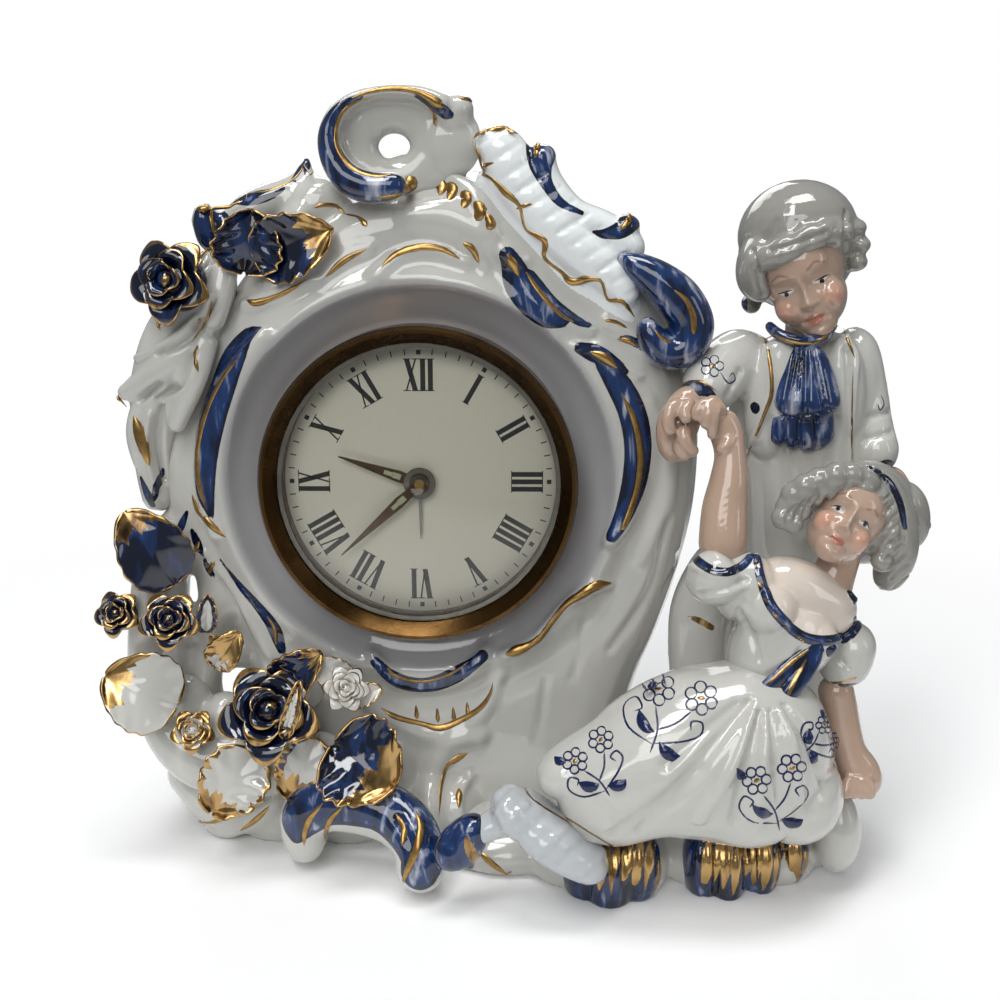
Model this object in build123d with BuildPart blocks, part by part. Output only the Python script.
from build123d import *

import os
from math import atan2, cos, degrees, pi, radians, sin

os.makedirs("parts", exist_ok=True)

# A porcelain figural clock: a rococo case with a boy and a girl beside it, and a round
# wind-up alarm clock set into its front. Millimetres. The viewer looks along +Y, +Z is up.
# The origin lies on the table, under the hands' arbor, part way through the case's depth.

# Porcelain sizes
CASE_W = 150.0  # Widest part of the clock case
CASE_H = 184.0  # Height of the case under its crest
CASE_D = 44.0  # Depth of the case, from its front face to its back
CASE_FRONT = 28.0  # From the origin to the front face of the case
WALL = 4.0  # Wall of the hollow porcelain
FRONT_WALL = 9.0  # Wall at the front, where the clock is held
DIAL_Z = 104.0  # Height of the hands' arbor above the table
DISH_R = 50.0  # Crease around the dished recess of the clock
DISH_DEPTH = 4.0  # Depth of that recess
DISH_MIDDLE_DEPTH = 3.0  # Depth half way from its crease to the bezel
MODEL_H = 200.0  # Height that the figures, flowers and scrolls are modelled to
GROUND_H = 15.0  # Height of the ground under the figures
PLINTH_H = 30.0  # Height of the lobes at the foot of the case
VENT_R = 3.0  # Firing vent under the case
VENT_X = -25.0
GROUND_WALL = 8.0  # Wall of the ground at its foot
OVERRUN = 2.0  # How far a cut runs past what it cuts

# Clock sizes, each depth counted from the case's front face towards its back
CAN_R = 38.0  # Outside of the movement's can
CAN_WALL = 0.8
CAN_REAR = 40.0  # Where the can ends
BEZEL_R = 41.5
BEZEL_PROUD = 8.0  # How far the bezel stands in front of the case's front face
BEZEL_RIM = 1.7  # Flat front edge of the bezel
LIP_R = 37.2  # Opening of the bezel over the glass
LIP_PROUD = 4.2
GROOVE_PROUD = 3.8  # Front and rear of the groove that holds the glass
GROOVE_REAR = 2.0
GROOVE_R = 38.4
DIAL_RING_R = 36.0  # Inside of the ring between glass and dial
DIAL_DEPTH = 2.0  # Front of the dial
DIAL_THICK = 0.4
GLASS_FIT = 0.1
GLASS_SEAT = 0.35  # From the front of the groove to the edge of the glass
GLASS_RISE = 3.6  # Rise of the glass's dome over its edge
GLASS_THICK = 1.2
HOLE_FIT = 0.4  # Gap between the can and the holes in the porcelain
RING_R = 44.0  # Ring behind the porcelain that holds the clock in
RING_THICK = 1.5
COVER_THICK = 0.8
COVER_LIP = 3.0
RUN_FIT = 0.05  # Radial clearance of every arbor in its hole
PIPE_FIT = 0.08  # Radial clearance between the pipes of the hands

# Plates and arbors of the movement
LEDGE_R = 35.5  # Inside of the ledge that the front plate rests against
FRONT_PLATE_DEPTH = 6.6
REAR_PLATE_DEPTH = 30.0
PLATE_THICK = 1.2
REAR_PLATE_R = 35.0
PILLAR_R = 1.5
PILLAR_CIRCLE_R = 31.5
PILLAR_ANGLES = (10, 110, 170, 270)
CENTRE_R = 1.0  # Centre arbor between the plates
CANNON_R = 1.3  # Cannon pinion's tube, which carries the minute hand
HOUR_PIPE_R = 2.0
ALARM_PIPE_R = 2.7
DIAL_HOLE_R = 2.9
SET_ARBOR_R = 0.8
KEY_ARBOR_R = 1.6
TRAIN_ARBOR_R = 0.4

# Hands
MINUTE_L = 28.6
HOUR_L = 22.4
ALARM_L = 15.4
HAND_THICK = 0.4
MINUTE_HAND_W = 3.0
HOUR_HAND_W = 3.2
ALARM_HAND_W = 1.0
HAND_TIP_W = 0.3
MINUTE_HUB_R = 2.6
HOUR_HUB_R = 4.2
ALARM_HUB_R = 3.4
MINUTE_FRONT = -2.2  # Depth of the front of each hand, in front of the case when negative
HOUR_FRONT = -0.7
ALARM_FRONT = 0.6
MINUTE_TURN = -137.3  # Direction of each hand at rest, in degrees from the viewer's right
HOUR_TURN = 161.4
ALARM_TURN = -90.0

# Wheels: teeth and modules. The leaves are slim and pointed, so the wheels run free.
TIP_SHARE = 0.8  # Addendum, as a share of the module
ROOT_SHARE = 1.1  # Dedendum, as a share of the module
LEAF_SHARE = 0.25  # Half a leaf's root, as a share of the pitch
MOTION_MODULE = 0.5
HOUR_MODULE = 0.48
TRAIN_MODULE = 0.42
THIRD_MODULE = 0.36
FOURTH_MODULE = 0.25
GREAT_DISTANCE = 18.0  # From the centre arbor to each winding arbor
CANNON_TEETH = 12
MINUTE_TEETH = 36
MINUTE_PINION_TEETH = 10
HOUR_TEETH = 40
ALARM_TEETH = 36
ALARM_PINION_TEETH = 12
GREAT_TEETH = 48
CENTRE_TEETH = 48
THIRD_TEETH = 45
FOURTH_TEETH = 60
ESCAPE_TEETH = 15
PINION_TEETH = 6
WHEEL_THICK = 0.8
PINION_THICK = 1.2
SET_TURN = 140.0  # Directions of the arbors from the arbor before them, in degrees
ALARM_SET_TURN = 40.0
TIME_KEY_TURN = 210.0
ALARM_KEY_TURN = 330.0
TRAIN_TURN = 90.0
ESCAPE_TURN = 20.0
LEVER_TURN = -20.0
BALANCE_TURN = -30.0
ESCAPE_R = 5.0
LEVER_DISTANCE = 7.4
LEVER_PIN_R = 0.25
LEVER_PIN_CIRCLE_R = 6.0
BALANCE_DISTANCE = 9.0
BALANCE_R = 6.8
BALANCE_RIM = 1.0
BALANCE_THICK = 1.5

# Depths of the wheels, front face first
ALARM_WHEEL_DEPTH = 2.9
HOUR_WHEEL_DEPTH = 4.0
MINUTE_WHEEL_DEPTH = 5.2
GREAT_WHEEL_DEPTH = 8.8
SPRING_DEPTH = 10.5
SPRING_H = 12.0
CENTRE_WHEEL_DEPTH = 24.0
THIRD_WHEEL_DEPTH = 26.2
FOURTH_WHEEL_DEPTH = 20.0
ESCAPE_WHEEL_DEPTH = 16.0
BALANCE_DEPTH = 13.0

# Mainsprings
SPRING_INNER_R = 1.9
SPRING_OUTER_R = 13.8
SPRING_STRIP = 0.5
SPRING_TURNS = 5
SPRING_STEPS = 10  # Points in each turn

# Pieces at the rear of the clock
KEY_HUB_R = 3.0
KEY_HUB_FRONT = 41.8
KEY_HUB_REAR = 45.5
KEY_WING_R = 4.5
KEY_WING_HOLE_R = 1.8
KEY_WING_DEPTH = 48.5
KEY_WING_THICK = 2.0
KNOB_TEETH = 20
KNOB_MODULE = 0.5
KNOB_FRONT = 41.8
KNOB_THICK = 3.4
STOP_R = 1.2
STOP_PLACE = (-12.0, 24.0)
STOP_FRONT = 33.0
STOP_KNOB_R = 3.0
HAMMER_PLACE = (-5.0, -24.0)
HAMMER_L = 17.0
HAMMER_TURN = 183.0
HAMMER_HEAD_R = 2.8
HAMMER_DEPTH = 32.0
HAMMER_THICK = 1.2
HAMMER_PIN_R = 0.8
HAMMER_W = 1.6
REGULATOR_L = 8.0
REGULATOR_TURN = 120.0
REGULATOR_SWING = 22.0
REGULATOR_RING_R = 2.6
REGULATOR_BOSS_R = 1.2
REGULATOR_DEPTH = 31.5
REGULATOR_THICK = 0.6
REGULATOR_W = 1.6
REGULATOR_PIN_R = 0.7
REGULATOR_PIN_REAR = 42.5

# Outline of the case from its left foot over the top to its right foot.
# x as shares of CASE_W, z as shares of CASE_H.
CASE_OUTLINE_SHARES = (
    (-0.470, -0.020),
    (-0.493, 0.065),
    (-0.440, 0.152),
    (-0.320, 0.228),
    (-0.280, 0.293),
    (-0.333, 0.359),
    (-0.400, 0.457),
    (-0.427, 0.571),
    (-0.413, 0.679),
    (-0.367, 0.788),
    (-0.253, 0.902),
    (-0.080, 0.978),
    (0.107, 1.000),
    (0.280, 0.935),
    (0.427, 0.826),
    (0.493, 0.679),
    (0.500, 0.516),
    (0.440, 0.370),
    (0.367, 0.272),
    (0.313, 0.196),
    (0.293, 0.087),
    (0.300, -0.020),
)
# Depth of each section of the case as a share of CASE_D, and how far its outline draws in
# there as a share of CASE_W.
CASE_SECTION_SHARES = ((0.0, 0.080), (0.09, 0.040), (0.27, 0.007), (0.55, 0.0), (0.82, 0.007), (1.0, 0.033))
# Lobes at the foot of the case, seen from above: x and depth as shares of CASE_W.
PLINTH_SHARES = (
    (-0.480, 0.020),
    (-0.500, -0.030),
    (-0.430, -0.090),
    (-0.330, -0.060),
    (-0.260, -0.050),
    (-0.140, -0.060),
    (0.000, -0.070),
    (0.130, -0.110),
    (0.280, -0.060),
    (0.300, 0.100),
    (-0.100, 0.140),
    (-0.450, 0.100),
)
# Height of each section of the plinth as a share of PLINTH_H, and how far it draws in there
# as a share of CASE_W.
PLINTH_SECTION_SHARES = ((0.0, 0.0), (0.4, 0.0), (0.75, 0.025), (1.0, 0.100))
# Ground under the figures, seen from above: x and depth as shares of MODEL_H.
GROUND_SHARES = (
    (0.010, -0.140),
    (0.100, -0.175),
    (0.210, -0.160),
    (0.330, -0.185),
    (0.460, -0.165),
    (0.560, -0.100),
    (0.620, 0.000),
    (0.600, 0.110),
    (0.520, 0.165),
    (0.350, 0.175),
    (0.180, 0.165),
    (0.080, 0.020),
)
GROUND_TOP_SHARE = 0.030
CHIP_SHARE = 0.03  # Solids under this share of a piece's largest one are chips of a cut
GROUND_SHOULDER_SHARE = 0.67  # Height at which the ground starts to draw in, as a share of GROUND_H

# Directions that the sections of a modelled form lie along
SIDEWAYS = (1, 0, 0)
BACKWARD = (0, 1, 0)
UPWARD = (0, 0, 1)

# Modelled scrolls and flowers
SCROLL_STEPS = 10
SCROLL_FLAT_SHARE = 1.25  # Width of a scroll, as a share of its depth
ROSE_PETALS = 5
ROSE_HEIGHT_SHARE = 0.8
RING_STEP_SHARE = 0.25  # From one ring of petals to the next
RING_DROP_SHARE = 0.15  # How much lower each ring ends than the next one inside it
VALLEY_SHARE = 0.2  # Depth between two rings
CALYX_SHARE = 0.55
BELLY_SHARE = 0.9
PETAL_PHASE = 40
PETAL_SHEET = 1.2  # Thickness of a petal
PETAL_SLIT = 0.6
SLIT_SPARE = 0.2
LEAF_SHEET = 2.0
LEAF_BEND_SHARE = 0.75
LEAF_BELLY_SHARE = 0.45
LEAF_ARCH_SHARE = 0.7


def at(x_share, depth_share, z_share):
    """Return a point of the modelled ornament from shares of its height."""
    return Vector(x_share * MODEL_H, depth_share * MODEL_H - CASE_FRONT, z_share * MODEL_H)


def polar(start, distance, turn):
    """Return the point at a distance and a direction in degrees from a start."""
    return (start[0] + distance * cos(radians(turn)), start[1] + distance * sin(radians(turn)))


def arbor_plane(place, depth):
    """Return a plane that faces the viewer, with its origin on an arbor at a depth."""
    origin = (place[0], depth - CASE_FRONT, DIAL_Z + place[1])
    return Plane(origin=origin, x_dir=(1, 0, 0), z_dir=(0, -1, 0))


def turned(plane, turn):
    """Return a plane turned in itself by some degrees."""
    x_dir = plane.x_dir * cos(radians(turn)) + plane.y_dir * sin(radians(turn))
    return Plane(origin=plane.origin, x_dir=x_dir, z_dir=plane.z_dir)


def axial_plane(place):
    """Return a level plane through an arbor: x is the radius and y the depth."""
    return Plane(origin=(place[0], -CASE_FRONT, DIAL_Z + place[1]), x_dir=(1, 0, 0), z_dir=(0, 0, 1))


def arbor_axis(place):
    """Return the axis of an arbor, pointing away from the viewer."""
    return Axis((place[0], -CASE_FRONT, DIAL_Z + place[1]), (0, 1, 0))


def case_section(depth_share, inset):
    """Draw the case's outline at a depth, drawn in by an inset."""
    plane = Plane(origin=(0, depth_share * CASE_D - CASE_FRONT, 0), x_dir=(1, 0, 0), z_dir=(0, -1, 0))
    with BuildSketch(plane) as section:
        with BuildLine():
            points = []
            for x_share, z_share in CASE_OUTLINE_SHARES:
                point = Vector(x_share * CASE_W, z_share * CASE_H)
                inward = (Vector(0, max(point.Y, DIAL_Z / 2)) - point).normalized()
                points.append(point + inward * inset)
            Spline(*points)
            Line(points[-1], points[0])
        make_face()
    return section.sketch


def plan_section(shares, size, z, inset):
    """Draw an outline seen from above at a height, drawn in towards its middle by an inset."""
    middle = sum((Vector(*share) for share in shares), Vector()) * (size / len(shares))
    with BuildSketch(Plane(origin=(0, -CASE_FRONT, z))) as section:
        with BuildLine():
            points = [Vector(*share) * size for share in shares]
            Spline(*[point + (middle - point).normalized() * inset for point in points], periodic=True)
        make_face()
    return section.sketch


def lofted_body(section_shares, across):
    """Loft ellipses along a path.

    Each section is x, depth, z, half width and half depth, as shares of MODEL_H. The half
    width lies along the direction across.
    """
    places = [at(*section[:3]) for section in section_shares]
    last = len(places) - 1
    slices = []
    for index, section in enumerate(section_shares):
        along = places[min(index + 1, last)] - places[max(index - 1, 0)]
        with BuildSketch(Plane(origin=places[index], x_dir=across, z_dir=along)) as cross_section:
            Ellipse(section[3] * MODEL_H, section[4] * MODEL_H)
        slices.append(cross_section.sketch)
    loft(slices)


def scroll(scroll_shares, turns):
    """Loft a tapering horn that curls around a middle in the plane of the case's front.

    The shares are the middle, the radius at the start and at the end, and half the
    thickness at the start, at the fullest place and at the end. The turns are the
    direction of the start and the turn from there, in degrees.
    """
    middle, radii, halves = scroll_shares
    sections = []
    for step in range(SCROLL_STEPS + 1):
        way = step / SCROLL_STEPS
        angle = radians(turns[0] + way * turns[1])
        radius = radii[0] + way * (radii[1] - radii[0])
        end_half = halves[0] if way < 1 / 2 else halves[2]
        half = end_half + (halves[1] - end_half) * sin(pi * way)
        place = (middle[0] + radius * cos(angle), middle[1], middle[2] + radius * sin(angle))
        sections.append((*place, half * SCROLL_FLAT_SHARE, half))
    lofted_body(sections, BACKWARD)


def flower_plane(place_shares, facing):
    """Return the plane of a flower or a leaf at a place, square to the way that it faces."""
    return Plane(origin=at(*place_shares), x_dir=Vector(*UPWARD).cross(Vector(*facing)), z_dir=facing)


def rose(place_shares, facing, radius_share, rings):
    """Build a rose: rings of cupped petals, slit between each two, around a closed bud."""
    plane = flower_plane(place_shares, facing)
    radius = radius_share * MODEL_H
    height = radius * ROSE_HEIGHT_SHARE
    step = radius * RING_STEP_SHARE
    drop = radius * RING_DROP_SHARE
    reaches = [radius - ring * step for ring in range(rings + 1)]
    rims = [height - (rings - ring) * drop for ring in range(rings)]
    calyx = radius * CALYX_SHARE
    profile = [(0, -height * CALYX_SHARE), (calyx, -calyx / 2), (radius * BELLY_SHARE, 0)]
    for reach, next_reach, rim in zip(reaches, reaches[1:], rims):
        valley = rim - radius * VALLEY_SHARE
        profile += [(reach, rim), (reach - PETAL_SHEET, rim), (reach - PETAL_SHEET, valley), (next_reach, valley)]
    bud = reaches[-1]
    profile += [(bud, height - drop), (bud / 2, height), (0, height)]
    with BuildSketch(Plane(origin=plane.origin, x_dir=plane.x_dir, z_dir=-plane.y_dir)) as half:
        with BuildLine():
            Polyline(*profile, close=True)
        make_face()
    revolve(half.sketch, axis=Axis(plane.origin, plane.z_dir))
    for ring, (reach, rim) in enumerate(zip(reaches, rims)):
        with BuildSketch(plane.offset(rim - radius * VALLEY_SHARE)) as slits:
            with PolarLocations(reach - PETAL_SHEET / 2, ROSE_PETALS, start_angle=ring * PETAL_PHASE):
                Rectangle(PETAL_SHEET + 2 * SLIT_SPARE, PETAL_SLIT)
        extrude(slits.sketch, amount=radius, mode=Mode.SUBTRACT)


def leaf(place_shares, facing, turn, length_share, width_share):
    """Return a pointed leaf, bent along its length, from its stalk at a place."""
    plane = turned(flower_plane(place_shares, facing), turn)
    length = length_share * MODEL_H
    half = width_share * MODEL_H / 2
    bend_r = length * LEAF_BEND_SHARE
    middle = plane.origin + plane.x_dir * (length / 2) - plane.z_dir * (bend_r * LEAF_ARCH_SHARE)
    with BuildPart(mode=Mode.PRIVATE) as blade:
        with BuildSketch(plane.offset(-bend_r)):
            with BuildLine():
                ThreePointArc((0, 0), (length * LEAF_BELLY_SHARE, half), (length, 0))
                ThreePointArc((0, 0), (length * LEAF_BELLY_SHARE, -half), (length, 0))
            make_face()
        extrude(amount=2 * bend_r)
        with BuildSketch(Plane(origin=middle, x_dir=plane.x_dir, z_dir=plane.y_dir)):
            Circle(bend_r)
            Circle(bend_r - LEAF_SHEET, mode=Mode.SUBTRACT)
        extrude(amount=2 * half, both=True, mode=Mode.INTERSECT)
        split(bisect_by=Plane(origin=middle, z_dir=plane.z_dir), keep=Keep.TOP)
    return blade.part


def cut_away(*neighbours):
    """Cut the pieces that a modelled piece is luted to out of it."""
    for neighbour in neighbours:
        add(neighbour.part, mode=Mode.SUBTRACT)


def drop_chips(piece):
    """Keep only the solids of a piece that are more than chips beside its largest one."""
    least = CHIP_SHARE * max(solid.volume for solid in piece.solids())
    add([solid for solid in piece.solids() if solid.volume > least], mode=Mode.REPLACE)


def stand_on_ground():
    """Cut a piece flat where it stands on the figures' ground."""
    split(bisect_by=Plane.XY.offset(GROUND_H), keep=Keep.TOP)


def write(piece, label):
    """Label a finished piece and write it to its own file."""
    piece.part.label = label
    export_step(piece.part, f"parts/{label}.step")


# Porcelain case, first as a solid form and then hollow
with BuildPart() as case_form:
    loft([case_section(depth, inset * CASE_W) for depth, inset in CASE_SECTION_SHARES])
    plinth = []
    for z_share, inset_share in PLINTH_SECTION_SHARES:
        plinth.append(plan_section(PLINTH_SHARES, CASE_W, z_share * PLINTH_H, inset_share * CASE_W))
    loft(plinth)
    split(bisect_by=Plane.XY, keep=Keep.TOP)

with BuildPart() as case_hollow:
    hollow_inset = WALL + CASE_SECTION_SHARES[-1][1] * CASE_W
    loft([case_section(depth / CASE_D, hollow_inset) for depth in (FRONT_WALL, CASE_D / 2, CASE_D - WALL)])
    split(bisect_by=Plane.XY.offset(WALL), keep=Keep.TOP)

HOLE_R = CAN_R + HOLE_FIT
with BuildPart() as porcelain_case:
    add(case_form.part)
    add(case_hollow.part, mode=Mode.SUBTRACT)
    with BuildSketch(axial_plane((0, 0))):
        with BuildLine():
            Polyline((0, DISH_DEPTH), (BEZEL_R + HOLE_FIT, DISH_DEPTH))
            dish_middle = ((BEZEL_R + DISH_R) / 2, DISH_MIDDLE_DEPTH)
            ThreePointArc((BEZEL_R + HOLE_FIT, DISH_DEPTH), dish_middle, (DISH_R, 0))
            Polyline((DISH_R, 0), (DISH_R, -OVERRUN), (0, -OVERRUN), (0, DISH_DEPTH))
        make_face()
    revolve(axis=arbor_axis((0, 0)), mode=Mode.SUBTRACT)
    with BuildSketch(arbor_plane((0, 0), CASE_D + OVERRUN)):
        Circle(HOLE_R)
    extrude(amount=CASE_D + 2 * OVERRUN, mode=Mode.SUBTRACT)
    with BuildSketch(Plane.XY.offset(-OVERRUN)):
        with Locations((VENT_X, 0)):
            Circle(VENT_R)
    extrude(amount=WALL + 2 * OVERRUN, mode=Mode.SUBTRACT)
write(porcelain_case, "porcelain_case")

# Ground that the two figures share, hollow like the case
with BuildPart() as ground_form:
    ground_insets = ((0, 0), (GROUND_SHOULDER_SHARE * GROUND_H, 0), (GROUND_H, GROUND_TOP_SHARE * MODEL_H))
    loft([plan_section(GROUND_SHARES, MODEL_H, z, inset) for z, inset in ground_insets])

with BuildPart() as figure_base:
    add(ground_form.part)
    hollow_insets = ((WALL, GROUND_WALL), (GROUND_H - WALL, GROUND_WALL))
    hollow = [plan_section(GROUND_SHARES, MODEL_H, z, inset) for z, inset in hollow_insets]
    loft(hollow, mode=Mode.SUBTRACT)
    cut_away(case_form)
write(figure_base, "figure_base")

# Blue rocks in front of the ground: middle x, depth and radius as shares of MODEL_H
ROCK_SHARES = ((0.262, -0.172, 0.058), (0.395, -0.172, 0.048), (0.462, -0.152, 0.038), (0.512, -0.120, 0.034))
ROCK_TOP_SHARE = 0.75
ROCK_SIDES = 9
with BuildPart() as rock_feet:
    for x_share, depth_share, radius_share in ROCK_SHARES:
        foot = at(x_share, depth_share, 0)
        with BuildSketch(Plane(origin=foot)) as rock_base:
            RegularPolygon(radius_share * MODEL_H, ROCK_SIDES)
        with BuildSketch(Plane(origin=foot + Vector(0, 0, GROUND_H))) as rock_top:
            RegularPolygon(radius_share * MODEL_H * ROCK_TOP_SHARE, ROCK_SIDES)
        loft([rock_base.sketch, rock_top.sketch], ruled=True)
    cut_away(ground_form)
write(rock_feet, "rock_feet")

# The girl, who lies in front and props herself on one arm. Sections of each modelled
# limb or garment are x, depth, z, half width and half depth, as shares of MODEL_H.
SKIRT_ACROSS = (-0.5, 0, 0.86)
SKIRT_SHARES = (
    (0.492, -0.100, 0.298, 0.046, 0.036),
    (0.462, -0.112, 0.262, 0.078, 0.066),
    (0.400, -0.128, 0.212, 0.108, 0.094),
    (0.315, -0.142, 0.176, 0.108, 0.100),
    (0.240, -0.152, 0.150, 0.092, 0.090),
    (0.184, -0.158, 0.132, 0.076, 0.078),
)
SKIRT_SEAT_SHARES = (
    (0.455, -0.118, 0.250, 0.072, 0.062),
    (0.462, -0.118, 0.170, 0.086, 0.080),
    (0.462, -0.118, 0.060, 0.080, 0.080),
)
with BuildPart() as girl_skirt:
    lofted_body(SKIRT_SHARES, SKIRT_ACROSS)
    lofted_body(SKIRT_SEAT_SHARES, SIDEWAYS)
    stand_on_ground()
write(girl_skirt, "girl_skirt")

PETTICOAT_SHARES = (
    (0.184, -0.158, 0.132, 0.068, 0.070),
    (0.156, -0.161, 0.123, 0.080, 0.082),
    (0.128, -0.164, 0.114, 0.074, 0.076),
    (0.100, -0.167, 0.105, 0.044, 0.046),
)
with BuildPart() as girl_petticoat:
    lofted_body(PETTICOAT_SHARES, SKIRT_ACROSS)
    stand_on_ground()
write(girl_petticoat, "girl_petticoat")

SHOE_SHARES = (
    (0.100, -0.167, 0.105, 0.026, 0.026),
    (0.072, -0.170, 0.096, 0.028, 0.026),
    (0.050, -0.164, 0.072, 0.024, 0.022),
    (0.028, -0.170, 0.058, 0.012, 0.012),
)
with BuildPart() as girl_shoe:
    lofted_body(SHOE_SHARES, SKIRT_ACROSS)
    cut_away(ground_form)
write(girl_shoe, "girl_shoe")

BODICE_ACROSS = (0.94, 0, -0.34)
BODICE_SHARES = (
    (0.475, -0.104, 0.275, 0.050, 0.042),
    (0.482, -0.104, 0.325, 0.056, 0.046),
    (0.490, -0.104, 0.370, 0.068, 0.050),
    (0.496, -0.098, 0.400, 0.066, 0.040),
    (0.502, -0.094, 0.418, 0.030, 0.026),
)
with BuildPart() as girl_bodice:
    lofted_body(BODICE_SHARES, BODICE_ACROSS)
    cut_away(girl_skirt)
write(girl_bodice, "girl_bodice")

GIRL_HEAD_ACROSS = (0.77, 0, -0.62)
GIRL_HEAD_SHARES = (
    (0.502, -0.095, 0.408, 0.026, 0.024),
    (0.516, -0.095, 0.436, 0.027, 0.027),
    (0.530, -0.096, 0.460, 0.044, 0.044),
    (0.550, -0.091, 0.490, 0.053, 0.055),
    (0.570, -0.081, 0.516, 0.048, 0.050),
    (0.584, -0.072, 0.534, 0.024, 0.026),
)
with BuildPart() as girl_head:
    lofted_body(GIRL_HEAD_SHARES, GIRL_HEAD_ACROSS)
    cut_away(girl_bodice)
write(girl_head, "girl_head")

RAISED_SLEEVE_SHARES = (
    (0.445, -0.106, 0.396, 0.034, 0.034),
    (0.408, -0.112, 0.412, 0.042, 0.042),
    (0.376, -0.114, 0.440, 0.040, 0.040),
    (0.358, -0.112, 0.466, 0.028, 0.028),
)
RAISED_FOREARM_SHARES = (
    (0.372, -0.108, 0.440, 0.022, 0.022),
    (0.370, -0.100, 0.480, 0.021, 0.021),
    (0.374, -0.080, 0.540, 0.018, 0.017),
    (0.374, -0.066, 0.574, 0.016, 0.015),
    (0.362, -0.052, 0.606, 0.021, 0.017),
    (0.350, -0.044, 0.626, 0.010, 0.010),
)
with BuildPart() as girl_raised_arm:
    lofted_body(RAISED_SLEEVE_SHARES, BACKWARD)
    lofted_body(RAISED_FOREARM_SHARES, BACKWARD)
    cut_away(girl_bodice)
write(girl_raised_arm, "girl_raised_arm")

PROPPING_ARM_SHARES = (
    (0.535, -0.094, 0.382, 0.030, 0.034),
    (0.552, -0.098, 0.350, 0.036, 0.038),
    (0.548, -0.102, 0.304, 0.034, 0.034),
    (0.552, -0.100, 0.262, 0.019, 0.020),
    (0.570, -0.092, 0.185, 0.017, 0.017),
    (0.584, -0.086, 0.120, 0.019, 0.020),
    (0.590, -0.090, 0.062, 0.024, 0.022),
)
with BuildPart() as girl_propping_arm:
    lofted_body(PROPPING_ARM_SHARES, SIDEWAYS)
    cut_away(girl_bodice, girl_skirt)
    stand_on_ground()
write(girl_propping_arm, "girl_propping_arm")

# The boy, who stands behind her. His coat reaches down to the ground behind the skirt.
COAT_SHARES = (
    (0.538, 0.060, 0.060, 0.082, 0.060),
    (0.530, 0.058, 0.177, 0.080, 0.062),
    (0.517, 0.050, 0.304, 0.078, 0.064),
    (0.515, 0.045, 0.394, 0.084, 0.066),
    (0.519, 0.042, 0.482, 0.095, 0.067),
    (0.521, 0.042, 0.552, 0.103, 0.066),
    (0.518, 0.045, 0.607, 0.105, 0.060),
    (0.508, 0.045, 0.652, 0.100, 0.052),
    (0.504, 0.045, 0.685, 0.076, 0.043),
    (0.503, 0.045, 0.704, 0.040, 0.036),
)
with BuildPart() as boy_coat:
    lofted_body(COAT_SHARES, SIDEWAYS)
    cut_away(girl_skirt, girl_bodice, girl_propping_arm)
    stand_on_ground()
    drop_chips(boy_coat)
write(boy_coat, "boy_coat")

BOY_LEG_SHARES = (
    (0.470, 0.050, 0.400, 0.050, 0.050),
    (0.400, 0.052, 0.330, 0.046, 0.046),
    (0.372, 0.052, 0.270, 0.036, 0.038),
    (0.370, 0.056, 0.190, 0.028, 0.030),
    (0.365, 0.050, 0.110, 0.026, 0.030),
    (0.355, 0.035, 0.060, 0.030, 0.046),
)
with BuildPart() as boy_leg:
    lofted_body(BOY_LEG_SHARES, SIDEWAYS)
    cut_away(boy_coat)
    stand_on_ground()
write(boy_leg, "boy_leg")

BOY_HEAD_SHARES = (
    (0.506, 0.045, 0.680, 0.032, 0.030),
    (0.506, 0.040, 0.712, 0.030, 0.029),
    (0.505, 0.024, 0.735, 0.042, 0.044),
    (0.501, 0.030, 0.770, 0.056, 0.058),
    (0.496, 0.038, 0.812, 0.058, 0.062),
    (0.491, 0.050, 0.850, 0.048, 0.052),
    (0.489, 0.054, 0.872, 0.022, 0.024),
)
with BuildPart() as boy_head:
    lofted_body(BOY_HEAD_SHARES, SIDEWAYS)
    cut_away(boy_coat)
write(boy_head, "boy_head")

WIG_SHARES = (
    (0.500, 0.085, 0.712, 0.050, 0.040),
    (0.500, 0.085, 0.740, 0.080, 0.062),
    (0.498, 0.082, 0.790, 0.090, 0.070),
    (0.494, 0.072, 0.840, 0.086, 0.076),
    (0.490, 0.064, 0.880, 0.062, 0.060),
    (0.488, 0.064, 0.900, 0.028, 0.028),
)
# Rolls at the sides of the wig: place and radius
WIG_ROLL_SHARES = (
    ((0.561, 0.066, 0.850), 0.023),
    ((0.574, 0.066, 0.828), 0.023),
    ((0.568, 0.066, 0.807), 0.023),
    ((0.428, 0.056, 0.800), 0.028),
    ((0.430, 0.056, 0.774), 0.028),
)
with BuildPart() as boy_wig:
    lofted_body(WIG_SHARES, SIDEWAYS)
    for place_shares, radius_share in WIG_ROLL_SHARES:
        with Locations(at(*place_shares)):
            Sphere(radius_share * MODEL_H)
    cut_away(boy_head, boy_coat)
write(boy_wig, "boy_wig")

CRAVAT_SHARES = (
    (0.506, 0.004, 0.712, 0.036, 0.024),
    (0.503, -0.004, 0.680, 0.042, 0.022),
    (0.500, -0.010, 0.620, 0.046, 0.020),
    (0.498, -0.012, 0.572, 0.040, 0.016),
)
with BuildPart() as boy_cravat:
    lofted_body(CRAVAT_SHARES, SIDEWAYS)
    cut_away(boy_coat, boy_head)
write(boy_cravat, "boy_cravat")

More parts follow.
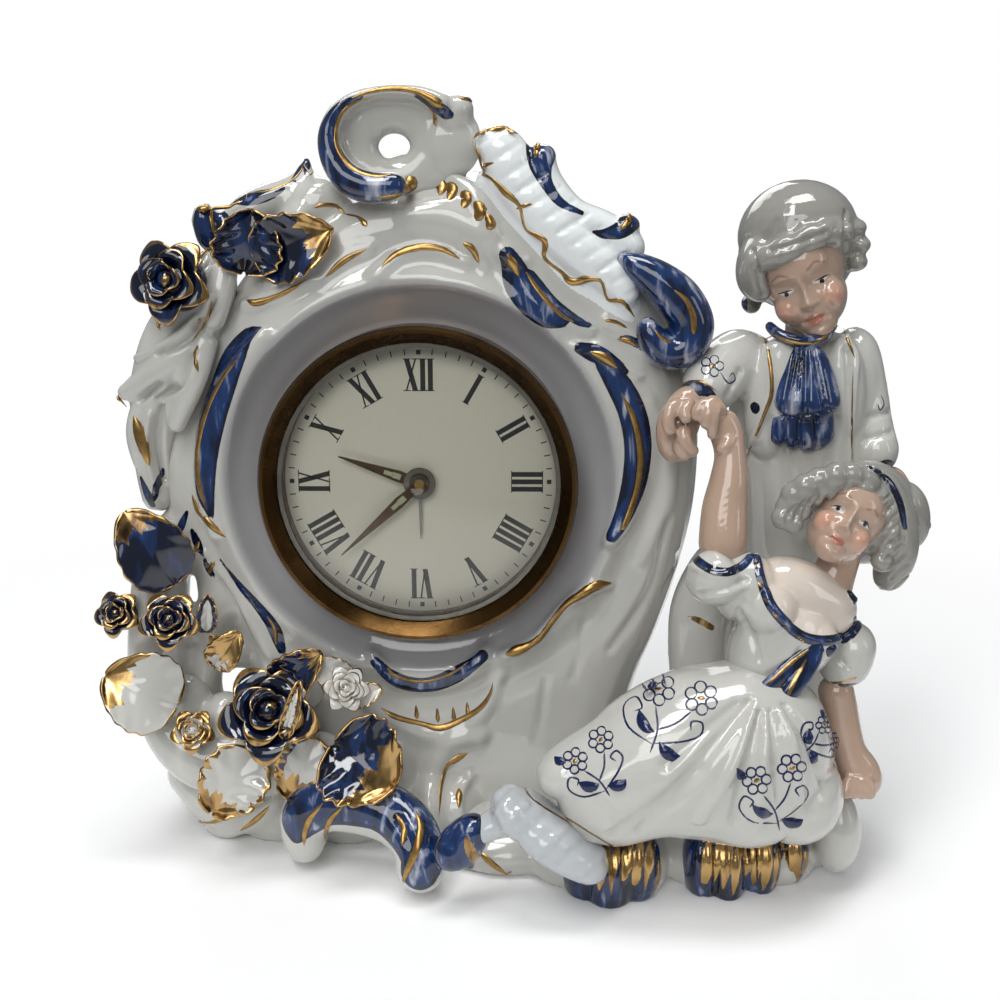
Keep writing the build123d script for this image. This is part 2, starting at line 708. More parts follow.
BOY_HOLDING_ARM_SHARES = (
    (0.430, 0.042, 0.655, 0.036, 0.040),
    (0.396, 0.022, 0.640, 0.034, 0.036),
    (0.366, -0.004, 0.642, 0.030, 0.030),
    (0.356, -0.020, 0.634, 0.022, 0.022),
    (0.350, -0.038, 0.612, 0.012, 0.014),
)
with BuildPart() as boy_holding_arm:
    lofted_body(BOY_HOLDING_ARM_SHARES, UPWARD)
    cut_away(boy_coat, girl_raised_arm, case_form)
write(boy_holding_arm, "boy_holding_arm")

BOY_REST_ARM_SHARES = (
    (0.582, 0.048, 0.662, 0.034, 0.038),
    (0.606, 0.052, 0.628, 0.036, 0.038),
    (0.614, 0.056, 0.584, 0.036, 0.037),
    (0.620, 0.052, 0.546, 0.034, 0.035),
    (0.632, 0.046, 0.510, 0.029, 0.031),
    (0.652, 0.040, 0.480, 0.019, 0.019),
    (0.671, 0.036, 0.463, 0.012, 0.012),
    (0.687, 0.035, 0.456, 0.007, 0.007),
)
with BuildPart() as boy_resting_arm:
    lofted_body(BOY_REST_ARM_SHARES, BACKWARD)
    cut_away(boy_coat)
write(boy_resting_arm, "boy_resting_arm")

GIRL_HAIR_SHARES = (
    (0.452, -0.078, 0.488, 0.026, 0.030),
    (0.486, -0.068, 0.516, 0.050, 0.050),
    (0.540, -0.050, 0.520, 0.066, 0.060),
    (0.590, -0.046, 0.490, 0.064, 0.060),
    (0.612, -0.056, 0.444, 0.046, 0.046),
    (0.604, -0.072, 0.402, 0.028, 0.028),
)
with BuildPart() as girl_hair:
    lofted_body(GIRL_HAIR_SHARES, BACKWARD)
    cut_away(girl_head, boy_coat, boy_cravat, boy_resting_arm, girl_bodice, girl_propping_arm)
write(girl_hair, "girl_hair")

# Scrollwork of the case: the middle, the radii and the half thicknesses of each horn as
# shares of MODEL_H, then its turns in degrees
CREST_SCROLL_SHARES = ((-0.026, 0.030, 0.946), (0.052, 0.056), (0.018, 0.034, 0.016))
CREST_SCROLL_TURNS = (255, -290)
CREST_POST_SHARES = (
    (0.028, 0.030, 0.992, 0.026, 0.018),
    (0.034, 0.030, 0.954, 0.034, 0.027),
    (0.030, 0.030, 0.912, 0.036, 0.030),
    (0.022, 0.032, 0.870, 0.036, 0.034),
)
CREST_ARM_SHARES = (
    (0.022, 0.030, 0.984, 0.030, 0.020),
    (0.049, 0.030, 0.991, 0.028, 0.018),
    (0.074, 0.030, 0.985, 0.022, 0.014),
)
with BuildPart() as crest_scroll:
    scroll(CREST_SCROLL_SHARES, CREST_SCROLL_TURNS)
    lofted_body(CREST_POST_SHARES, BACKWARD)
    lofted_body(CREST_ARM_SHARES, BACKWARD)
    cut_away(case_form)
write(crest_scroll, "crest_scroll")

VOLUTE_SHARES = ((0.310, 0.026, 0.735), (0.072, 0.022), (0.016, 0.036, 0.012))
VOLUTE_TURNS = (140, -330)
with BuildPart() as right_volute:
    scroll(VOLUTE_SHARES, VOLUTE_TURNS)
    cut_away(case_form)
write(right_volute, "right_volute")

HORN_SHARES = (
    ((0.200, 0.030, 0.905), (0.052, 0.030), (0.012, 0.022, 0.010)),
    ((0.262, 0.030, 0.842), (0.040, 0.022), (0.012, 0.020, 0.010)),
)
HORN_TURNS = ((100, -200), (110, -230))
SHELL_MIDDLE_SHARES = (0.110, 0.060, 0.800)
SHELL_R_SHARE = 0.195
SHELL_THICK_SHARE = 0.045
SHELL_RUFFLE_SHARE = 0.05
SHELL_START = -15.0
SHELL_TURN = 115.0
SHELL_RUFFLES = 7
SHELL_STEPS = 28
with BuildPart() as crest_shell:
    shell_plane = Plane(origin=at(*SHELL_MIDDLE_SHARES), x_dir=(1, 0, 0), z_dir=(0, -1, 0))
    with BuildSketch(shell_plane):
        with BuildLine():
            rim = []
            for step in range(SHELL_STEPS + 1):
                way = step / SHELL_STEPS
                angle = radians(SHELL_START + SHELL_TURN * way)
                reach = SHELL_R_SHARE * MODEL_H * (1 + SHELL_RUFFLE_SHARE * cos(2 * pi * SHELL_RUFFLES * way))
                rim.append((reach * cos(angle), reach * sin(angle)))
            Spline(*rim)
            Polyline(rim[-1], (0, 0), rim[0])
        make_face()
    extrude(amount=SHELL_THICK_SHARE * MODEL_H)
    for horn_shares, horn_turns in zip(HORN_SHARES, HORN_TURNS):
        scroll(horn_shares, horn_turns)
    cut_away(case_form, crest_scroll, right_volute)
write(crest_shell, "crest_shell")

# Draped ribbon down the left side: x and z of its edge as shares of MODEL_H
RIBBON_SHARES = (
    (-0.240, 0.850),
    (-0.320, 0.800),
    (-0.315, 0.740),
    (-0.405, 0.632),
    (-0.350, 0.580),
    (-0.335, 0.520),
    (-0.290, 0.480),
    (-0.260, 0.560),
    (-0.250, 0.650),
    (-0.230, 0.760),
)
RIBBON_FRONT_SHARE = 0.010
RIBBON_THICK_SHARE = 0.075
with BuildPart() as side_ribbon:
    ribbon_rear = at(0, RIBBON_FRONT_SHARE + RIBBON_THICK_SHARE, 0)
    with BuildSketch(Plane(origin=ribbon_rear, x_dir=(1, 0, 0), z_dir=(0, -1, 0))):
        with BuildLine():
            Spline(*[Vector(*share) * MODEL_H for share in RIBBON_SHARES], periodic=True)
        make_face()
    extrude(amount=RIBBON_THICK_SHARE * MODEL_H)
    cut_away(case_form)
write(side_ribbon, "side_ribbon")

# Blue scroll under the front of the case, standing on two feet
FOOT_SCROLL_SHARES = (
    (-0.135, -0.075, -0.010, 0.026, 0.034),
    (-0.155, -0.075, 0.050, 0.030, 0.034),
    (-0.150, -0.080, 0.105, 0.034, 0.036),
    (-0.105, -0.090, 0.128, 0.036, 0.036),
    (-0.055, -0.105, 0.112, 0.034, 0.036),
    (-0.018, -0.130, 0.062, 0.032, 0.034),
    (-0.012, -0.150, -0.010, 0.026, 0.028),
)
with BuildPart() as foot_scroll:
    lofted_body(FOOT_SCROLL_SHARES, BACKWARD)
    split(bisect_by=Plane.XY, keep=Keep.TOP)
    cut_away(case_form, ground_form, girl_shoe)
write(foot_scroll, "foot_scroll")

# Applied flowers and leaves, from the case outwards, and the ways that they face
FACING_FRONT = (0, -1, 0)
FACING_LEFT = (-0.5, -0.85, 0)
FACING_UP = (0, -1, 0.3)

# Stem that carries the lower garland, and the leaves on it: place, the way that each
# faces, its direction in degrees, and its length and width as shares of MODEL_H
STEM_SHARES = (
    (-0.300, 0.040, 0.455, 0.026, 0.026),
    (-0.345, 0.004, 0.370, 0.032, 0.032),
    (-0.318, -0.016, 0.268, 0.034, 0.034),
    (-0.235, -0.028, 0.205, 0.036, 0.036),
    (-0.150, -0.026, 0.218, 0.032, 0.034),
    (-0.080, -0.004, 0.262, 0.022, 0.026),
)
GARLAND_LEAF_SHARES = (
    ((-0.170, -0.040, 0.236), FACING_FRONT, 52, 0.120, 0.070),
    ((-0.225, -0.058, 0.190), FACING_UP, 240, 0.120, 0.080),
    ((-0.195, -0.058, 0.205), FACING_UP, 262, 0.085, 0.060),
    ((-0.142, -0.050, 0.262), FACING_FRONT, 316, 0.130, 0.090),
)
with BuildPart() as garland_leaves:
    lofted_body(STEM_SHARES, BACKWARD)
    cut_away(case_form)
    for leaf_shares in GARLAND_LEAF_SHARES:
        add(leaf(*leaf_shares))
write(garland_leaves, "garland_leaves")

# Roses: place, the way that each faces and its radius as a share of MODEL_H
LARGE_ROSE_SHARES = ((-0.200, -0.070, 0.214), FACING_FRONT, 0.064)
LARGE_ROSE_RINGS = 3
with BuildPart() as large_rose:
    rose(*LARGE_ROSE_SHARES, LARGE_ROSE_RINGS)
    cut_away(garland_leaves)
    drop_chips(large_rose)
write(large_rose, "large_rose")

LEFT_ROSE_SHARES = (
    ((-0.385, -0.036, 0.350), FACING_LEFT, 0.044),
    ((-0.310, -0.042, 0.352), FACING_FRONT, 0.042),
)
LEFT_ROSE_RINGS = 2
with BuildPart() as left_roses:
    for rose_shares in LEFT_ROSE_SHARES:
        rose(*rose_shares, LEFT_ROSE_RINGS)
    cut_away(garland_leaves)
write(left_roses, "left_roses")

ROSEBUD_SHARES = (
    ((-0.078, -0.042, 0.274), FACING_FRONT, 0.038),
    ((-0.298, -0.056, 0.200), FACING_LEFT, 0.032),
)
with BuildPart() as rosebuds:
    for rose_shares in ROSEBUD_SHARES:
        rose(*rose_shares, 1)
    cut_away(garland_leaves)
    drop_chips(rosebuds)
write(rosebuds, "rosebuds")

ROUND_LEAF_SHARES = ((-0.325, -0.038, 0.282), FACING_LEFT, 215, 0.135, 0.115)
with BuildPart() as round_leaf:
    add(leaf(*ROUND_LEAF_SHARES))
    cut_away(garland_leaves, rosebuds, left_roses)
write(round_leaf, "round_leaf")

SIDE_LEAF_SHARES = ((-0.300, 0.010, 0.385), FACING_LEFT, 140, 0.130, 0.095)
with BuildPart() as side_leaf:
    add(leaf(*SIDE_LEAF_SHARES))
    cut_away(garland_leaves, left_roses, case_form)
write(side_leaf, "side_leaf")

UPPER_ROSE_SHARES = ((-0.305, 0.000, 0.770), FACING_LEFT, 0.050)
UPPER_ROSE_RINGS = 2
UPPER_LEAF_SHARES = ((-0.285, 0.006, 0.778), FACING_FRONT, 28, 0.165, 0.090)
with BuildPart() as upper_rose:
    rose(*UPPER_ROSE_SHARES, UPPER_ROSE_RINGS)
    add(leaf(*UPPER_LEAF_SHARES))
    cut_away(case_form, side_ribbon)
write(upper_rose, "upper_rose")

# Clock insert. A solid in the movement is placed by its arbor and its depth.
CENTRE = (0, 0)
HAND_BELLY_SHARE = 0.25
HAND_NECK_SHARE = 0.6
SLOT_SPARE = 2.0  # Spare turn of the regulator's slot past each end of its swing, in degrees
LEVER_SPAN = 40.0  # Half the turn between the lever's two pins, around the escape wheel
LEVER_TAIL_SHARE = 0.72
LEVER_W = 1.2


def mesh_distance(teeth, pinion, module):
    """Return the distance between the arbors of two wheels in mesh."""
    return (teeth + pinion) * module / 2


def wheel(teeth, module, place, depth, thick, turn, bore):
    """Build a spur wheel on its arbor, with one leaf pointing in the direction turn."""
    pitch_r = teeth * module / 2
    corners = []
    for leaf in range(teeth):
        for way, reach in ((-LEAF_SHARE, -ROOT_SHARE), (0, TIP_SHARE), (LEAF_SHARE, -ROOT_SHARE)):
            corners.append(polar((0, 0), pitch_r + reach * module, turn + 360 * (leaf + way) / teeth))
    with BuildSketch(arbor_plane(place, depth + thick)) as blank:
        with BuildLine():
            Polyline(*corners, close=True)
        make_face()
        if bore:
            Circle(bore, mode=Mode.SUBTRACT)
    extrude(blank.sketch, amount=thick)


def shaft(place, radius, front, rear):
    """Build a round arbor between two depths."""
    with BuildSketch(arbor_plane(place, rear)) as end:
        Circle(radius)
    extrude(end.sketch, amount=rear - front)


def ring(place, outer, inner, front, rear):
    """Build a flat ring or a tube between two depths."""
    with BuildSketch(arbor_plane(place, rear)) as end:
        Circle(outer)
        Circle(inner, mode=Mode.SUBTRACT)
    extrude(end.sketch, amount=rear - front)


def hand(length, width, front, turn, hub, bore):
    """Build a tapered hand with its round hub."""
    rear = front + HAND_THICK
    with BuildSketch(turned(arbor_plane(CENTRE, rear), turn)) as blade:
        with BuildLine():
            half = width / 2
            tip = HAND_TIP_W / 2
            belly = length * HAND_BELLY_SHARE
            outline = ((0, half * HAND_NECK_SHARE), (belly, half), (length, tip))
            Polyline(*outline, *[(x, -y) for x, y in reversed(outline)], close=True)
        make_face()
    extrude(blade.sketch, amount=HAND_THICK)
    shaft(CENTRE, hub, front, rear)
    shaft_hole(CENTRE, bore, front, rear)


def link(start, end, width, front, rear):
    """Build a flat bar with round ends from one place to another."""
    reach = Vector(*end) - Vector(*start)
    middle = (Vector(*start) + Vector(*end)) / 2
    with BuildSketch(arbor_plane(CENTRE, rear)) as bar:
        with Locations((middle.X, middle.Y)):
            SlotCenterToCenter(reach.length, width, rotation=degrees(atan2(reach.Y, reach.X)))
    extrude(bar.sketch, amount=rear - front)


def shaft_hole(place, radius, front, rear):
    """Cut the hole that an arbor runs or sits in."""
    with BuildSketch(arbor_plane(place, rear + OVERRUN)) as end:
        Circle(radius)
    extrude(end.sketch, amount=rear - front + 2 * OVERRUN, mode=Mode.SUBTRACT)


# Places of the arbors, from the hands' arbor outwards
SET_PLACE = polar(CENTRE, mesh_distance(MINUTE_TEETH, CANNON_TEETH, MOTION_MODULE), SET_TURN)
ALARM_SET_PLACE = polar(CENTRE, mesh_distance(ALARM_TEETH, ALARM_PINION_TEETH, MOTION_MODULE), ALARM_SET_TURN)
TIME_KEY_PLACE = polar(CENTRE, GREAT_DISTANCE, TIME_KEY_TURN)
ALARM_KEY_PLACE = polar(CENTRE, GREAT_DISTANCE, ALARM_KEY_TURN)
THIRD_PLACE = polar(CENTRE, mesh_distance(CENTRE_TEETH, PINION_TEETH, TRAIN_MODULE), TRAIN_TURN)
FOURTH_PLACE = polar(THIRD_PLACE, mesh_distance(THIRD_TEETH, PINION_TEETH, THIRD_MODULE), TRAIN_TURN)
ESCAPE_PLACE = polar(FOURTH_PLACE, mesh_distance(FOURTH_TEETH, PINION_TEETH, FOURTH_MODULE), ESCAPE_TURN)
LEVER_PLACE = polar(ESCAPE_PLACE, LEVER_DISTANCE, LEVER_TURN)
BALANCE_PLACE = polar(LEVER_PLACE, BALANCE_DISTANCE, BALANCE_TURN)
GREAT_MODULE = 2 * GREAT_DISTANCE / (GREAT_TEETH + PINION_TEETH)

# Can, with the ledge that parts the dial from the front plate
CAN_BORE = CAN_R - CAN_WALL
PLATE_REAR = REAR_PLATE_DEPTH + PLATE_THICK
with BuildPart() as movement_can:
    ring(CENTRE, CAN_R, CAN_BORE, DIAL_DEPTH, CAN_REAR)
    ring(CENTRE, CAN_BORE, LEDGE_R, DIAL_DEPTH + DIAL_THICK, FRONT_PLATE_DEPTH)
write(movement_can, "movement_can")

# Bezel: a cone runs in from its rim to the lip over the glass, and behind the glass a
# ring stands on the dial
with BuildPart() as bezel:
    with BuildSketch(axial_plane(CENTRE)):
        with BuildLine():
            Polyline(
                (DIAL_RING_R, DIAL_DEPTH),
                (GROOVE_R, DIAL_DEPTH),
                (GROOVE_R, DISH_DEPTH),
                (BEZEL_R, DISH_DEPTH),
                (BEZEL_R, BEZEL_RIM - BEZEL_PROUD),
                (BEZEL_R - BEZEL_RIM / 2, -BEZEL_PROUD),
                (BEZEL_R - BEZEL_RIM, -BEZEL_PROUD),
                (LIP_R, -LIP_PROUD),
                (LIP_R, -GROOVE_PROUD),
                (GROOVE_R, -GROOVE_PROUD),
                (GROOVE_R, -GROOVE_REAR),
                (DIAL_RING_R, -GROOVE_REAR),
                close=True,
            )
        make_face()
    revolve(axis=arbor_axis(CENTRE))
write(bezel, "bezel")

# Domed glass, held by its edge in the bezel's groove
with BuildPart() as crystal:
    edge = GROOVE_R - GLASS_FIT
    front = GLASS_SEAT - GROOVE_PROUD
    rear = -GROOVE_REAR - GLASS_FIT
    with BuildSketch(axial_plane(CENTRE)):
        with BuildLine():
            Line((edge, rear), (edge, front))
            ThreePointArc((edge, front), (0, front - GLASS_RISE), (-edge, front))
            Line((-edge, front), (-edge, rear))
            ThreePointArc((-edge, rear), (0, front - GLASS_RISE + GLASS_THICK), (edge, rear))
        make_face()
        split(bisect_by=Plane.YZ, keep=Keep.TOP)
    revolve(axis=arbor_axis(CENTRE))
write(crystal, "crystal")

with BuildPart() as dial:
    ring(CENTRE, CAN_BORE, DIAL_HOLE_R, DIAL_DEPTH, DIAL_DEPTH + DIAL_THICK)
write(dial, "dial")

# Ring behind the porcelain's front wall, which holds the clock in
with BuildPart() as retaining_ring:
    ring(CENTRE, RING_R, CAN_R + RUN_FIT, FRONT_WALL, FRONT_WALL + RING_THICK)
write(retaining_ring, "retaining_ring")

# Every arbor that runs in the plates: place and radius. The outer ones reach out of the can.
PINION_REACH = PINION_THICK - WHEEL_THICK
OUTER_ARBORS = (
    (SET_PLACE, SET_ARBOR_R),
    (ALARM_SET_PLACE, SET_ARBOR_R),
    (TIME_KEY_PLACE, KEY_ARBOR_R),
    (ALARM_KEY_PLACE, KEY_ARBOR_R),
)
ARBORS = (
    *OUTER_ARBORS,
    (THIRD_PLACE, TRAIN_ARBOR_R),
    (FOURTH_PLACE, TRAIN_ARBOR_R),
    (ESCAPE_PLACE, TRAIN_ARBOR_R),
    (LEVER_PLACE, TRAIN_ARBOR_R),
    (BALANCE_PLACE, TRAIN_ARBOR_R),
)
PILLAR_PLACES = [polar(CENTRE, PILLAR_CIRCLE_R, turn) for turn in PILLAR_ANGLES]

with BuildPart() as front_plate:
    with BuildSketch(arbor_plane(CENTRE, FRONT_PLATE_DEPTH + PLATE_THICK)):
        Circle(CAN_BORE - RUN_FIT)
        Circle(CANNON_R + RUN_FIT, mode=Mode.SUBTRACT)
        for place, radius in ARBORS:
            with Locations(place):
                Circle(radius + RUN_FIT, mode=Mode.SUBTRACT)
    extrude(amount=PLATE_THICK)
write(front_plate, "front_plate")

# Rear plate, with the four pillars that stand on the front plate, the hammer's pin and
# the boss that the regulator turns on
with BuildPart() as rear_plate:
    with BuildSketch(arbor_plane(CENTRE, PLATE_REAR)):
        Circle(REAR_PLATE_R)
        Circle(CENTRE_R + RUN_FIT, mode=Mode.SUBTRACT)
        for place, radius in ARBORS:
            with Locations(place):
                Circle(radius + RUN_FIT, mode=Mode.SUBTRACT)
    extrude(amount=PLATE_THICK)
    for place in PILLAR_PLACES:
        shaft(place, PILLAR_R, FRONT_PLATE_DEPTH + PLATE_THICK, REAR_PLATE_DEPTH)
    shaft(HAMMER_PLACE, HAMMER_PIN_R, PLATE_REAR, HAMMER_DEPTH + HAMMER_THICK)
    ring(
        BALANCE_PLACE,
        REGULATOR_BOSS_R,
        TRAIN_ARBOR_R + RUN_FIT,
        PLATE_REAR,
        REGULATOR_DEPTH + REGULATOR_THICK,
    )
write(rear_plate, "rear_plate")

# Rear cover, which snaps into the can, with holes for the arbors, the alarm stop and the
# regulator's pin
with BuildPart() as rear_cover:
    with BuildSketch(arbor_plane(CENTRE, CAN_REAR + COVER_THICK)):
        Circle(CAN_R)
        for place, radius in OUTER_ARBORS:
            with Locations(place):
                Circle(radius + RUN_FIT, mode=Mode.SUBTRACT)
        with Locations(STOP_PLACE):
            Circle(STOP_R + RUN_FIT, mode=Mode.SUBTRACT)
        with BuildLine(mode=Mode.PRIVATE) as slot_path:
            slot_start = REGULATOR_TURN - REGULATOR_SWING - SLOT_SPARE
            slot_turn = 2 * (REGULATOR_SWING + SLOT_SPARE)
            CenterArc(BALANCE_PLACE, REGULATOR_L, slot_start, slot_turn)
        SlotArc(slot_path.edge(), 2 * (REGULATOR_PIN_R + PIPE_FIT), mode=Mode.SUBTRACT)
    extrude(amount=COVER_THICK)
    ring(CENTRE, CAN_BORE - RUN_FIT, CAN_BORE - COVER_THICK, CAN_REAR - COVER_LIP, CAN_REAR)
write(rear_cover, "rear_cover")

# Hands and the wheels that drive them. The cannon pinion turns the minute wheel, whose
# pinion turns the hour wheel: twelve turns of the minute hand to one of the hour hand.
ARBOR_REAR = KNOB_FRONT + KNOB_THICK / 2
with BuildPart() as centre_arbor:
    shaft(CENTRE, CANNON_R, MINUTE_FRONT + HAND_THICK / 2, FRONT_PLATE_DEPTH + PLATE_THICK)
    shaft(CENTRE, CENTRE_R, FRONT_PLATE_DEPTH, PLATE_REAR)
    wheel(CANNON_TEETH, MOTION_MODULE, CENTRE, MINUTE_WHEEL_DEPTH, PINION_THICK, SET_TURN, 0)
    pinion_front = GREAT_WHEEL_DEPTH - PINION_REACH / 2
    wheel(PINION_TEETH, GREAT_MODULE, CENTRE, pinion_front, PINION_THICK, TIME_KEY_TURN, 0)
    wheel(CENTRE_TEETH, TRAIN_MODULE, CENTRE, CENTRE_WHEEL_DEPTH, WHEEL_THICK, TRAIN_TURN, 0)
write(centre_arbor, "centre_arbor")

with BuildPart() as minute_hand:
    hand(MINUTE_L, MINUTE_HAND_W, MINUTE_FRONT + HAND_THICK, MINUTE_TURN, MINUTE_HUB_R, CANNON_R)
write(minute_hand, "minute_hand")

with BuildPart() as minute_wheel:
    back = SET_TURN + 180
    half_leaf = 180 / MINUTE_TEETH
    wheel(MINUTE_TEETH, MOTION_MODULE, SET_PLACE, MINUTE_WHEEL_DEPTH, WHEEL_THICK, back + half_leaf, 0)
    pinion_front = HOUR_WHEEL_DEPTH - RUN_FIT
    wheel(MINUTE_PINION_TEETH, HOUR_MODULE, SET_PLACE, pinion_front, PINION_THICK, back, 0)
    shaft(SET_PLACE, SET_ARBOR_R, HOUR_WHEEL_DEPTH, ARBOR_REAR)
write(minute_wheel, "minute_wheel")

with BuildPart() as hour_wheel:
    mesh_turn = SET_TURN + 180 / HOUR_TEETH
    bore = CANNON_R + PIPE_FIT
    wheel(HOUR_TEETH, HOUR_MODULE, CENTRE, HOUR_WHEEL_DEPTH, WHEEL_THICK, mesh_turn, bore)
    ring(CENTRE, HOUR_PIPE_R, bore, HOUR_FRONT, HOUR_WHEEL_DEPTH)
write(hour_wheel, "hour_wheel")

with BuildPart() as hour_hand:
    hand(HOUR_L, HOUR_HAND_W, HOUR_FRONT, HOUR_TURN, HOUR_HUB_R, HOUR_PIPE_R)
write(hour_hand, "hour_hand")

with BuildPart() as alarm_wheel:
    bore = HOUR_PIPE_R + PIPE_FIT
    wheel(ALARM_TEETH, MOTION_MODULE, CENTRE, ALARM_WHEEL_DEPTH, WHEEL_THICK, ALARM_SET_TURN, bore)
    ring(CENTRE, ALARM_PIPE_R, bore, ALARM_FRONT, ALARM_WHEEL_DEPTH)
write(alarm_wheel, "alarm_wheel")

with BuildPart() as alarm_hand:
    hand(ALARM_L, ALARM_HAND_W, ALARM_FRONT, ALARM_TURN, ALARM_HUB_R, ALARM_PIPE_R)
write(alarm_hand, "alarm_hand")


def set_knob(place):
    """Build a milled knob pressed on the end of its arbor."""
    wheel(KNOB_TEETH, KNOB_MODULE, place, KNOB_FRONT, KNOB_THICK, 0, 0)


with BuildPart() as time_set_knob:
    set_knob(SET_PLACE)
    cut_away(minute_wheel)
write(time_set_knob, "time_set_knob")

with BuildPart() as alarm_set_knob:
    set_knob(ALARM_SET_PLACE)
    shaft(ALARM_SET_PLACE, SET_ARBOR_R, ALARM_WHEEL_DEPTH, KNOB_FRONT)
    mesh_turn = ALARM_SET_TURN + 180 + 180 / ALARM_PINION_TEETH
    wheel(ALARM_PINION_TEETH, MOTION_MODULE, ALARM_SET_PLACE, ALARM_WHEEL_DEPTH, WHEEL_THICK, mesh_turn, 0)
write(alarm_set_knob, "alarm_set_knob")


def winding_key(place):
    """Build a winged key on its arbor, which reaches from plate to plate."""
    shaft(place, KEY_ARBOR_R, FRONT_PLATE_DEPTH, KEY_HUB_REAR)
    shaft(place, KEY_HUB_R, KEY_HUB_FRONT, KEY_HUB_REAR)
    with BuildSketch(axial_plane(place)) as wings:
        with Locations((-KEY_WING_R, KEY_WING_DEPTH), (KEY_WING_R, KEY_WING_DEPTH)):
            Circle(KEY_WING_R)
        with Locations((0, (KEY_HUB_REAR + KEY_WING_DEPTH) / 2)):
            Rectangle(2 * KEY_HUB_R, KEY_WING_DEPTH - KEY_HUB_FRONT)
        with Locations((-KEY_WING_R, KEY_WING_DEPTH), (KEY_WING_R, KEY_WING_DEPTH)):
            Circle(KEY_WING_HOLE_R, mode=Mode.SUBTRACT)
    extrude(wings.sketch, amount=KEY_WING_THICK / 2, both=True)


with BuildPart() as time_winding_key:
    winding_key(TIME_KEY_PLACE)
write(time_winding_key, "time_winding_key")

with BuildPart() as alarm_winding_key:
    winding_key(ALARM_KEY_PLACE)
write(alarm_winding_key, "alarm_winding_key")


def mainspring(place):
    """Build a flat spiral spring around a winding arbor."""
    steps = SPRING_TURNS * SPRING_STEPS
    inner = []
    outer = []
    for step in range(steps + 1):
        radius = SPRING_INNER_R + (SPRING_OUTER_R - SPRING_INNER_R) * step / steps
        turn = 360 * step / SPRING_STEPS
        inner.append(polar((0, 0), radius, turn))
        outer.append(polar((0, 0), radius + SPRING_STRIP, turn))
    with BuildSketch(arbor_plane(place, SPRING_DEPTH + SPRING_H)) as strip:
        with BuildLine():
            Polyline(*inner, *reversed(outer), close=True)
        make_face()
    extrude(strip.sketch, amount=SPRING_H)


with BuildPart() as time_mainspring:
    mainspring(TIME_KEY_PLACE)
write(time_mainspring, "time_mainspring")

with BuildPart() as alarm_mainspring:
    mainspring(ALARM_KEY_PLACE)
write(alarm_mainspring, "alarm_mainspring")

# Going train, from the mainspring to the balance
with BuildPart() as great_wheel:
    mesh_turn = TIME_KEY_TURN + 180 + 180 / GREAT_TEETH
    bore = KEY_ARBOR_R + RUN_FIT
    wheel(GREAT_TEETH, GREAT_MODULE, TIME_KEY_PLACE, GREAT_WHEEL_DEPTH, WHEEL_THICK, mesh_turn, bore)
write(great_wheel, "great_wheel")


def train_wheel(place, teeth, module, depth, turn):
    """Build a wheel of the train on its arbor."""
    wheel(teeth, module, place, depth, WHEEL_THICK, turn, 0)
    shaft(place, TRAIN_ARBOR_R, FRONT_PLATE_DEPTH, PLATE_REAR)


def train_pinion(place, module, depth, turn):
    """Build a pinion in mesh with the wheel at a depth, in the direction turn from it."""
    mesh_turn = turn + 180 + 180 / PINION_TEETH
    wheel(PINION_TEETH, module, place, depth - PINION_REACH / 2, PINION_THICK, mesh_turn, 0)


with BuildPart() as third_wheel:
    train_wheel(THIRD_PLACE, THIRD_TEETH, THIRD_MODULE, THIRD_WHEEL_DEPTH, TRAIN_TURN)
    train_pinion(THIRD_PLACE, TRAIN_MODULE, CENTRE_WHEEL_DEPTH, TRAIN_TURN)
write(third_wheel, "third_wheel")

with BuildPart() as fourth_wheel:
    train_wheel(FOURTH_PLACE, FOURTH_TEETH, FOURTH_MODULE, FOURTH_WHEEL_DEPTH, ESCAPE_TURN)
    train_pinion(FOURTH_PLACE, THIRD_MODULE, THIRD_WHEEL_DEPTH, TRAIN_TURN)
write(fourth_wheel, "fourth_wheel")

ESCAPE_MODULE = 2 * ESCAPE_R / (ESCAPE_TEETH + 2 * TIP_SHARE)
with BuildPart() as escape_wheel:
    train_wheel(ESCAPE_PLACE, ESCAPE_TEETH, ESCAPE_MODULE, ESCAPE_WHEEL_DEPTH, LEVER_TURN)
    train_pinion(ESCAPE_PLACE, FOURTH_MODULE, FOURTH_WHEEL_DEPTH, ESCAPE_TURN)
write(escape_wheel, "escape_wheel")

# Lever: two pins beside the escape wheel and a tail that points at the balance's staff
with BuildPart() as pallet_lever:
    shaft(LEVER_PLACE, TRAIN_ARBOR_R, FRONT_PLATE_DEPTH, PLATE_REAR)
    lever_rear = ESCAPE_WHEEL_DEPTH + 2 * WHEEL_THICK
    for swing in (-LEVER_SPAN, LEVER_SPAN):
        pin = polar(ESCAPE_PLACE, LEVER_PIN_CIRCLE_R, LEVER_TURN + swing)
        link(LEVER_PLACE, pin, LEVER_W, lever_rear, lever_rear + WHEEL_THICK)
        shaft(pin, LEVER_PIN_R, ESCAPE_WHEEL_DEPTH, lever_rear + WHEEL_THICK)
    tail = polar(LEVER_PLACE, BALANCE_DISTANCE * LEVER_TAIL_SHARE, BALANCE_TURN)
    link(LEVER_PLACE, tail, LEVER_W, lever_rear, lever_rear + WHEEL_THICK)
write(pallet_lever, "pallet_lever")

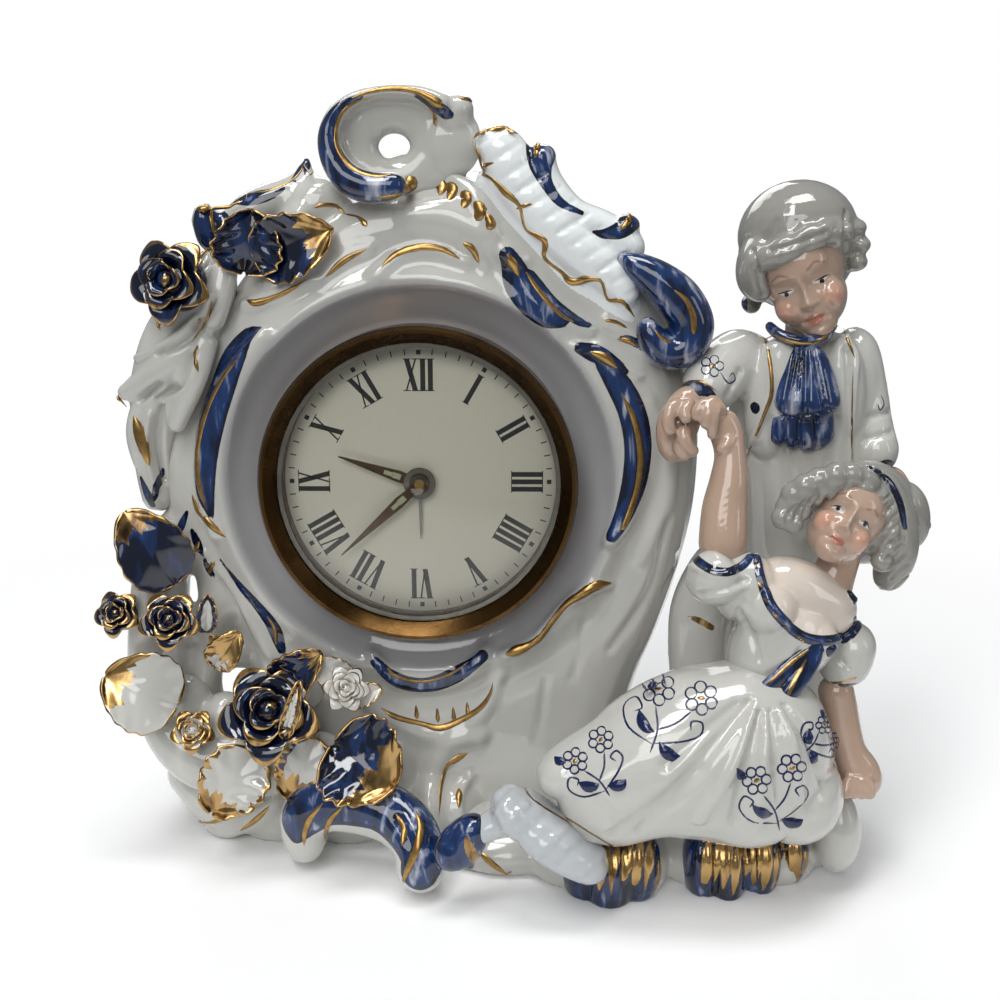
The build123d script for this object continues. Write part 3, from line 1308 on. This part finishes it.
with BuildPart() as balance_wheel:
    shaft(BALANCE_PLACE, TRAIN_ARBOR_R, FRONT_PLATE_DEPTH, REGULATOR_DEPTH)
    ring(BALANCE_PLACE, BALANCE_R, BALANCE_R - BALANCE_RIM, BALANCE_DEPTH, BALANCE_DEPTH + BALANCE_THICK)
    for turn in (BALANCE_TURN, BALANCE_TURN + 180):
        rim = polar(BALANCE_PLACE, BALANCE_R - BALANCE_RIM, turn)
        link(BALANCE_PLACE, rim, BALANCE_RIM, BALANCE_DEPTH, BALANCE_DEPTH + WHEEL_THICK)
write(balance_wheel, "balance_wheel")

# Hammer, which strikes the wall of the can
with BuildPart() as alarm_hammer:
    head = polar(HAMMER_PLACE, HAMMER_L, HAMMER_TURN)
    link(HAMMER_PLACE, head, HAMMER_W, HAMMER_DEPTH, HAMMER_DEPTH + HAMMER_THICK)
    shaft(HAMMER_PLACE, HAMMER_W, HAMMER_DEPTH, HAMMER_DEPTH + HAMMER_THICK)
    shaft(head, HAMMER_HEAD_R, HAMMER_DEPTH, HAMMER_DEPTH + 2 * HAMMER_THICK)
    shaft_hole(HAMMER_PLACE, HAMMER_PIN_R + RUN_FIT, HAMMER_DEPTH, HAMMER_DEPTH + HAMMER_THICK)
write(alarm_hammer, "alarm_hammer")

with BuildPart() as alarm_stop:
    shaft(STOP_PLACE, STOP_R, STOP_FRONT, KNOB_FRONT)
    shaft(STOP_PLACE, STOP_KNOB_R, KNOB_FRONT, KNOB_FRONT + KNOB_THICK)
write(alarm_stop, "alarm_stop")

# Regulator, which turns around the balance's staff and shows through the rear cover
with BuildPart() as regulator_lever:
    pointer = polar(BALANCE_PLACE, REGULATOR_L, REGULATOR_TURN)
    shaft(BALANCE_PLACE, REGULATOR_RING_R, REGULATOR_DEPTH, REGULATOR_DEPTH + REGULATOR_THICK)
    link(BALANCE_PLACE, pointer, REGULATOR_W, REGULATOR_DEPTH, REGULATOR_DEPTH + REGULATOR_THICK)
    shaft(pointer, REGULATOR_PIN_R, REGULATOR_DEPTH, REGULATOR_PIN_REAR)
    shaft_hole(BALANCE_PLACE, REGULATOR_BOSS_R + RUN_FIT, REGULATOR_DEPTH, REGULATOR_DEPTH + REGULATOR_THICK)
write(regulator_lever, "regulator_lever")
